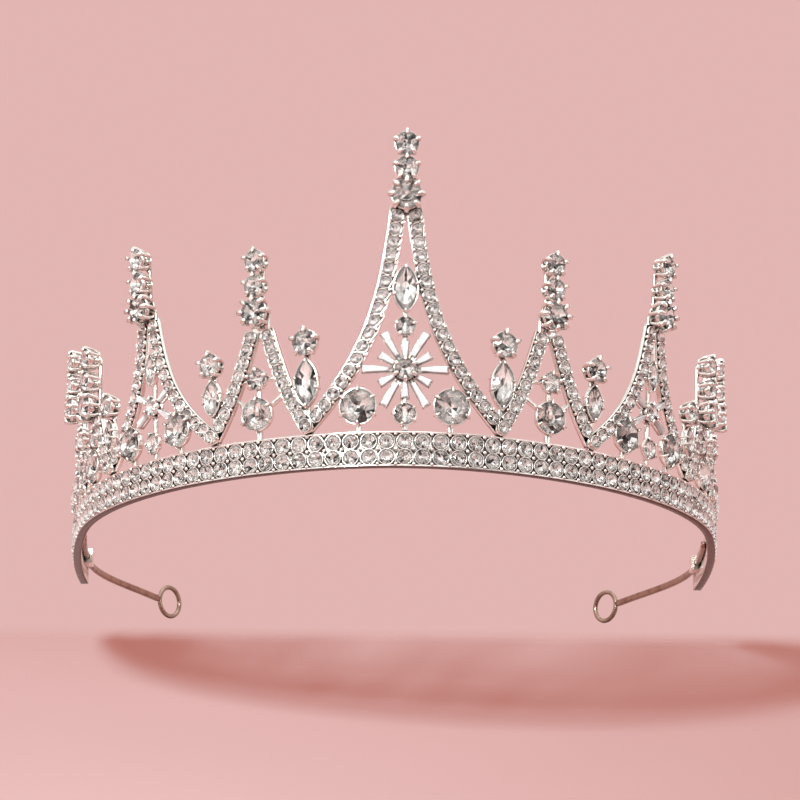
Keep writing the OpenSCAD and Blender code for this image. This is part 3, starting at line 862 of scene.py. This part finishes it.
# ---------------------------------------------------------------- the band
# Outwards and up: a strip with a rolled lip along each edge.
BAND_SECTION = [
    (-0.4, 0.12), (-0.28, 0.0), (1.26, 0.0), (1.38, 0.08), (1.4, 0.24), (1.34, 0.4), (1.2, 0.45),
    (0.5, 0.45), (0.4, 0.55), (0.4, 6.65), (0.5, 6.75), (1.2, 6.75), (1.34, 6.8), (1.4, 6.96),
    (1.38, 7.12), (1.26, 7.2), (-0.28, 7.2), (-0.4, 7.08),
]


def build_band():
    piece = Piece("band", [band_plated])
    rows, steps = [], 220
    for i in range(steps + 1):
        s = BAND_HALF * (2 * i / steps - 1)
        rows.append([flat_point(s, z, n) for n, z in BAND_SECTION])
    loft(piece, rows, METAL)
    count = int((BAND_HALF - 2) / STONE_PITCH)
    for i in range(-count, count + 1):
        for z in (LOW_Z, HIGH_Z):
            stone_cup(piece, band_at(i * STONE_PITCH, z, BAND_STONE_N), STONE_D)
        if i < count:
            for z in (0.55, (LOW_Z + HIGH_Z) / 2, BAND_H - 0.55):
                bead(piece, band_at((i + 0.5) * STONE_PITCH, z, BAND_STONE_N), 0.42, 0.42)
    piece.build(["band_base"])
    for node, z in (("band_stones_lower", LOW_Z), ("band_stones_upper", HIGH_Z)):
        stones = Piece(node + "_cut", [glass, foil], faceted=True)
        for i in range(-count, count + 1):
            round_stone(stones, band_at(i * STONE_PITCH, z, BAND_STONE_N), STONE_D)
        stones.build([node])


# ---------------------------------------------------------------- spires and valleys
def build_spire(p, flip, tag):
    """Pieces of one spire: legs, finial, motif, and the stones of both."""
    piece = Piece("spire_" + tag, [plated])
    spire_frame(piece, p, flip)
    for s, z in pave_spots(p, flip):
        stone_cup(piece, on_sheet(s, z, PAVE_N), PAVE_D, 0.4)
    for s, z in pave_beads(p, flip):
        bead(piece, on_sheet(s, z, PAVE_N), 0.36, 0.34)
    piece.build(["frame_" + tag])
    piece = Piece("finial_claws_" + tag, [plated])
    spire_finial(piece, p, flip)
    piece.build(["finial_" + tag])
    piece = Piece("motif_" + tag, [plated])
    settings = round_settings if p.kind == ROUND else flake_settings
    settings(piece, p, flip)
    piece.build(["settings_" + tag])
    piece = Piece("leg_stones_" + tag, [glass, foil], faceted=True)
    for s, z in pave_spots(p, flip):
        round_stone(piece, on_sheet(s, z, PAVE_N), PAVE_D)
    piece.build(["pave_" + tag])
    piece = Piece("stones_" + tag, [glass, foil], faceted=True)
    spire_stones(piece, p, flip)
    piece.build(["crystals_" + tag])


def build_flakes(node, spires):
    """Milky baguettes of the given spires, as one piece."""
    piece = Piece(node + "_cut", [milk])
    for p, flip in spires:
        k = p.scale
        for turn, start, end in flake_arms(p):
            at = on_sheet(flip * p.s, flake_z(p), 0) @ Matrix.Rotation(math.radians(turn), 4, "Z")
            at = at @ Matrix.Translation((start * k, 0, 0.08))
            baguette(piece, at, (end - start) * k, CUT_IN * k, CUT_OUT * k)
    piece.build([node])


# Girdle of a valley's round stone, and the stud under the foot stone.
VALLEY_N, STUD_H = 1.9, 0.95


def build_valleys(side, tag):
    """Navette under a round stone in each valley of one side, and the stone at its foot."""
    metal = Piece("valley_claws_" + tag, [plated])
    stones = Piece("valley_stones_" + tag, [glass, foil], faceted=True)
    for s0, z, d, nz, nl in VALLEYS:
        s = side * s0
        w = nl * 0.3 + 1.8
        basket(metal, on_sheet(s, z, VALLEY_N), d, 2.6, 5)
        navette_cup(metal, on_sheet(s, nz, MOTIF_N), nl, w, 1.5)
        bar(metal, s, POST_Z, s, z - 1, 1.2, BACK_N, 0.4, METAL)
        stud = on_sheet(s, FOOT_Z, LEG_T / 2)
        lathe(metal, stud, [(0, 0), (1.35, 0), (1.45, 0.15), (1.45, 0.9), (1.2, 1.0), (0, 1.0)], 20,
              METAL)
        spot = on_sheet(s, FOOT_Z, PAVE_N + STUD_H)
        stone_cup(metal, spot, PAVE_D, 0.7)
        round_stone(stones, on_sheet(s, z, VALLEY_N), d)
        navette_stone(stones, on_sheet(s, nz, MOTIF_N), nl, w)
        round_stone(stones, spot, PAVE_D)
    metal.build(["valley_settings_" + tag])
    stones.build(["valley_crystals_" + tag])


# ---------------------------------------------------------------- arms
# Pull of the curve from the band to the eye at each end, and its heading at the eye.
ARM_PULL, EYE_HEADING = 16, Vector((-0.38, 0.92, 0))
EYE_HALF_T = 0.52
# Inwards and up: a tab folded over the wire, open towards the band.
CRIMP_SECTION = [
    (-0.05, -1.6), (1.7, -1.6), (1.84, -1.45), (1.84, 1.45), (1.7, 1.6), (-0.05, 1.6),
    (-0.05, 0.78), (1.1, 0.78), (1.2, 0.6), (1.2, -0.6), (1.1, -0.78), (-0.05, -0.78),
]


def arm_point(u):
    """Centre line of the right arm: along the band's inner face, then back to the eye."""
    if u <= 1:
        s = ARM_S0 + (ARM_S1 - ARM_S0) * u
        return flat_point(s, ARM_Z, -(FACE_N + ARM_T / 2 + 0.02))
    v, a, h = u - 1, arm_point(1.0), plan(ARM_S1)[2]
    b = a + ARM_PULL * Vector((math.cos(h), math.sin(h), 0))
    out = Vector((-math.cos(EYE_TURN), math.sin(EYE_TURN), 0))
    d = Vector((EYE_X, EYE_Y, ARM_Z)) - (EYE_R + ARM_T / 2) * out
    c = d - ARM_PULL * EYE_HEADING
    return a * (1 - v) ** 3 + b * 3 * v * (1 - v) ** 2 + c * 3 * v * v * (1 - v) + d * v ** 3


def wire_rows():
    """Sections of the flattened wire along the arm, smaller at both ends."""
    rows, steps, sides, e = [], 60, 16, 0.01
    ring = [squared(k, sides, 0.6) for k in range(sides)]
    for i in range(steps + 1):
        u = 2 * i / steps
        t = (arm_point(min(2, u + e)) - arm_point(max(0, u - e))).normalized()
        across = Vector((t.y, -t.x, 0))
        swell = 1.0 if 0 < i < steps else 0.6
        rows.append([
            arm_point(u) + swell * (across * ARM_T / 2 * c + Vector((0, 0, ARM_W / 2 * q)))
            for c, q in ring
        ])
    return rows


def eye_rows():
    """Sections of the eye's ring."""
    centre = Vector((EYE_X, EYE_Y, ARM_Z))
    along = Vector((math.cos(EYE_TURN), -math.sin(EYE_TURN), 0))
    across = Vector((math.sin(EYE_TURN), math.cos(EYE_TURN), 0))
    rows, steps, sides = [], 48, 10
    for i in range(steps):
        a = 2 * math.pi * i / steps
        d = along * math.cos(a) + Vector((0, 0, math.sin(a)))
        turns = [2 * math.pi * k / sides for k in range(sides)]
        rows.append([
            centre + d * (EYE_R + ARM_T / 2 * (1 + math.cos(b))) + across * EYE_HALF_T * math.sin(b)
            for b in turns
        ])
    return rows


def build_arm(side, tag):
    """Spring arm with its eye, and the crimp that holds it, on one side."""
    mirror = Matrix.Scale(side, 4, Vector((1, 0, 0)))
    piece = Piece("spring_arm_" + tag, [wire_metal])
    loft(piece, wire_rows(), METAL, at=mirror)
    loft(piece, eye_rows(), METAL, closed=True, at=mirror)
    piece.build(["arm_" + tag])
    tab = Piece("crimp_tab_" + tag, [band_plated])
    rows, steps = [], 6
    for i in range(steps + 1):
        s = CRIMP_S + CRIMP_L * (i / steps - 0.5)
        rows.append([flat_point(s, ARM_Z + z, -(FACE_N + n)) for n, z in CRIMP_SECTION])
    loft(tab, rows, METAL, at=mirror, smooth=False)
    tab.build(["crimp_" + tag])


# ---------------------------------------------------------------- the whole tiara
build_band()
for spire in SPIRES:
    if spire.s == 0:
        build_spire(spire, 1, spire.name)
    else:
        build_spire(spire, 1, "r" + spire.name)
        build_spire(spire, -1, "l" + spire.name)
small = [spire for spire in SPIRES if spire.kind == SMALL_FLAKE]
build_flakes("baguettes_c", [(SPIRES[0], 1)])
build_flakes("baguettes_r", [(spire, 1) for spire in small])
build_flakes("baguettes_l", [(spire, -1) for spire in small])
for side, tag in ((1, "r"), (-1, "l")):
    build_valleys(side, tag)
for side, tag in ((1, "right"), (-1, "left")):
    build_arm(side, tag)


# ---------------------------------------------------------------- stage, in metres
# The camera stands below the tiara, so floor and slope are drawn from above only. The slope catches the
# shadow behind the tiara. Its colour is painted darker towards the front over EVEN_Y, painted shade
# that evens out the lamp's stronger light there, and it dissolves over FADE_Y.
FADE_Y = (0.062, 0.077)
EVEN_Y, EVEN_LOW = (-0.06, 0.06), 0.82
SLOPE, SLOPE_FRONT, SLOPE_HALF, HINGE_Y = math.tan(math.radians(26.2)), -1.5, 2, 0.078
FLOOR_Z, FLOOR_HALF = -0.0003, 3
# The slope's glow is painted light: a reddish pink that fills its shadow and its lit part alike.
FLOOR_PAPER, SLOPE_PAPER, SLOPE_GLOW = (0.6, 0.42, 0.4), (0.115, 0.115, 0.12), (0.35, 0.045, 0.01)


def along_y(tree, near, far, low, high):
    """Smooth change from low to high between two places along Y."""
    coord = tree.nodes.new("ShaderNodeTexCoord")
    split = tree.nodes.new("ShaderNodeSeparateXYZ")
    reach = tree.nodes.new("ShaderNodeMapRange")
    reach.interpolation_type = "SMOOTHSTEP"
    reach.inputs["From Min"].default_value = near
    reach.inputs["From Max"].default_value = far
    reach.inputs["To Min"].default_value = low
    reach.inputs["To Max"].default_value = high
    tree.links.new(coord.outputs["Object"], split.inputs[0])
    tree.links.new(split.outputs["Y"], reach.inputs["Value"])
    return reach.outputs["Result"]


def stage_material(name, colour, glow=None):
    """Matt paper that can't be seen from below. With a glow it is the slope's, with painted light in
    its glow and painted shade towards its front.
    """
    mat, tree, shader = nodes_of(name)
    shader.inputs["Roughness"].default_value = 0.9
    shader.inputs["Specular IOR Level"].default_value = 0.1
    mottled = ramp(tree, noise(tree, 6.0, 4.0), [(0.3, tuple(c * 0.97 for c in colour)), (0.7, colour)])
    out = tree.nodes["Material Output"]
    clear = tree.nodes.new("ShaderNodeBsdfTransparent")
    mix = tree.nodes.new("ShaderNodeMixShader")
    geo = tree.nodes.new("ShaderNodeNewGeometry")
    tree.links.new(shader.outputs[0], mix.inputs[1])
    tree.links.new(clear.outputs[0], mix.inputs[2])
    if glow:
        # Painted light: the slope glows reddish pink, standing for the light that fills its shadow.
        shader.inputs["Emission Color"].default_value = (*glow, 1.0)
        shader.inputs["Emission Strength"].default_value = 1.0
        # Painted shade: the slope's colour is darker towards the front, where the lamp lights it more.
        mottled = mixed(tree, "MULTIPLY", 1.0, mottled, along_y(tree, *EVEN_Y, EVEN_LOW, 1.0))
        both = tree.nodes.new("ShaderNodeMath")
        both.operation = "MAXIMUM"
        tree.links.new(along_y(tree, *FADE_Y, 0.0, 1.0), both.inputs[0])
        tree.links.new(geo.outputs["Backfacing"], both.inputs[1])
        tree.links.new(both.outputs[0], mix.inputs["Fac"])
    else:
        tree.links.new(geo.outputs["Backfacing"], mix.inputs["Fac"])
    tree.links.new(mottled, shader.inputs["Base Color"])
    tree.links.new(mix.outputs[0], out.inputs["Surface"])
    return mat


def plane(name, mat, half, y0, z0, y1, z1):
    """Sheet across X, from one height at its front edge to another at its back edge."""
    corners = [(-half, y0, z0), (half, y0, z0), (half, y1, z1), (-half, y1, z1)]
    mesh = bpy.data.meshes.new(name)
    mesh.from_pydata(corners, [], [(0, 1, 2, 3)])
    mesh.materials.append(mat)
    obj = bpy.data.objects.new(name, mesh)
    bpy.context.scene.collection.objects.link(obj)
    return obj


def slope_z(y):
    return (y - HINGE_Y) * SLOPE - 0.001


floor = plane("floor", stage_material("paper", FLOOR_PAPER), FLOOR_HALF,
              -FLOOR_HALF, FLOOR_Z, FLOOR_HALF, FLOOR_Z)
floor.visible_glossy = False
floor.visible_diffuse = False
slope = plane("slope", stage_material("paper_slope", SLOPE_PAPER, SLOPE_GLOW), SLOPE_HALF,
              SLOPE_FRONT, slope_z(SLOPE_FRONT), HINGE_Y, slope_z(HINGE_Y))


# ---------------------------------------------------------------- light
# Lamp in front of the tiara on the left. Its twin for the slope alone makes the shadow deep, and
# its twin for the floor alone is FAR times as far away, because it would burn the floor out.
KEY_AT, KEY_SIZE, KEY_POWER = (-0.123, -0.329, 0.114), (0.06, 0.06), 1.8
SLOPE_KEY_POWER = 3.4
FAR = 6.0
ORIGIN = (0.0, 0.0, 0.0)


def area_light(name, spot, target, size, power):
    data = bpy.data.lights.new(name, "AREA")
    data.shape = "RECTANGLE"
    data.size, data.size_y = size
    data.energy = power
    obj = bpy.data.objects.new(name, data)
    obj.location = spot
    obj.rotation_euler = (Vector(target) - Vector(spot)).to_track_quat("-Z", "Y").to_euler()
    obj.visible_camera = False
    bpy.context.scene.collection.objects.link(obj)
    return obj


def receivers(name, obj):
    """Collection of one object for lamps that light it alone."""
    group = bpy.data.collections.new(name)
    group.objects.link(obj)
    return group


floor_lit = receivers("floor_lit", floor)
slope_lit = receivers("slope_lit", slope)
all_but_floor = receivers("all_but_floor", floor)
all_but_floor.collection_objects[0].light_linking.link_state = "EXCLUDE"

key = area_light("key", KEY_AT, ORIGIN, KEY_SIZE, KEY_POWER)
key.light_linking.receiver_collection = all_but_floor
floor_key = area_light("floor_key", tuple(c * FAR for c in KEY_AT), ORIGIN,
                       tuple(c * FAR for c in KEY_SIZE), KEY_POWER * FAR ** 2)
floor_key.light_linking.receiver_collection = floor_lit
slope_key = area_light("slope_key", KEY_AT, ORIGIN, KEY_SIZE, SLOPE_KEY_POWER)
slope_key.light_linking.receiver_collection = slope_lit
slope_fill = area_light("slope_fill", (0.3, -0.2, 0.12), (0.08, 0.0, -0.03), (0.2, 0.2), 0.5)
slope_fill.light_linking.receiver_collection = slope_lit
area_light("top", (0.2, -0.1, 0.9), ORIGIN, (0.9, 0.7), 1.2)

world = bpy.data.worlds.new("studio")
world.use_nodes = True
bpy.context.scene.world = world
sky = world.node_tree


def sky_ramp(axis, low, high, stops):
    """Colours along one world axis, from low to high."""
    coord = sky.nodes.new("ShaderNodeTexCoord")
    split = sky.nodes.new("ShaderNodeSeparateXYZ")
    span = sky.nodes.new("ShaderNodeMapRange")
    span.inputs["From Min"].default_value = low
    span.inputs["From Max"].default_value = high
    sky.links.new(coord.outputs["Generated"], split.inputs[0])
    sky.links.new(split.outputs[axis], span.inputs["Value"])
    return ramp(sky, span.outputs["Result"], stops)


# A pink backdrop behind the piece, a pale room with dark flags in front of it.
GLOW = 1.45
PINK = (0.76, 0.465, 0.445)
SOFT_PINK = tuple(c / GLOW for c in PINK)
backdrop = sky_ramp("Z", -1.0, 1.0, [
    (0.0, (0.3, 0.17, 0.15)), (0.42, (0.42, 0.27, 0.25)), (0.52, SOFT_PINK), (0.72, SOFT_PINK),
    (0.86, (0.75, 0.7, 0.68)), (1.0, (0.8, 0.78, 0.77))])
room = sky_ramp("Z", -1.0, 1.0, [
    (0.0, (0.4, 0.3, 0.28)), (0.3, (0.75, 0.66, 0.63)), (0.36, (0.06, 0.05, 0.05)),
    (0.41, (0.06, 0.05, 0.05)), (0.45, (0.9, 0.88, 0.87)), (0.6, (1.0, 0.98, 0.97)),
    (0.64, (0.1, 0.09, 0.09)), (0.67, (0.1, 0.09, 0.09)), (0.71, (1.0, 0.99, 0.98)),
    (1.0, (1.0, 1.0, 1.0))])
flags = sky_ramp("X", -1.0, 1.0, [
    (0.0, grey(1.0)), (0.2, grey(1.0)), (0.25, grey(0.15)), (0.3, grey(0.15)), (0.35, grey(1.0)),
    (0.68, grey(1.0)), (0.73, grey(0.12)), (0.78, grey(0.12)), (0.83, grey(1.0))])
where = sky_ramp("Y", -0.35, 0.5, [(0.0, grey(0.0)), (1.0, grey(1.0))])
flagged = mixed(sky, "MULTIPLY", 1.0, room, flags)
around = mixed(sky, "MIX", where, flagged, backdrop)
# The camera always sees the plain pink backdrop; the room only shows in the stones.
path = sky.nodes.new("ShaderNodeLightPath")
seen = mixed(sky, "MIX", path.outputs["Is Camera Ray"], around, backdrop)
sky.links.new(seen, sky.nodes["Background"].inputs["Color"])
sky.nodes["Background"].inputs["Strength"].default_value = GLOW

# ---------------------------------------------------------------- camera
CAM_AT = Vector((-0.01678, -0.72753, -0.16662))
CAM_YAW, CAM_PITCH, CAM_ROLL = math.radians(1.382), math.radians(15.379), math.radians(0.324)
SENSOR_MM, LENS_MM = 36.0, 154.845
cam = bpy.data.cameras.new("camera")
cam.sensor_width = SENSOR_MM
cam.lens = LENS_MM
cam.clip_start, cam.clip_end = 0.01, 20.0
camera = bpy.data.objects.new("camera", cam)
camera.matrix_world = (
    Matrix.Translation(CAM_AT)
    @ Matrix.Rotation(-CAM_YAW, 4, "Z")
    @ Matrix.Rotation(math.pi / 2 + CAM_PITCH, 4, "X")
    @ Matrix.Rotation(CAM_ROLL, 4, "Z")
)
bpy.context.scene.collection.objects.link(camera)
bpy.context.scene.camera = camera
bpy.context.scene.view_settings.view_transform = "Standard"
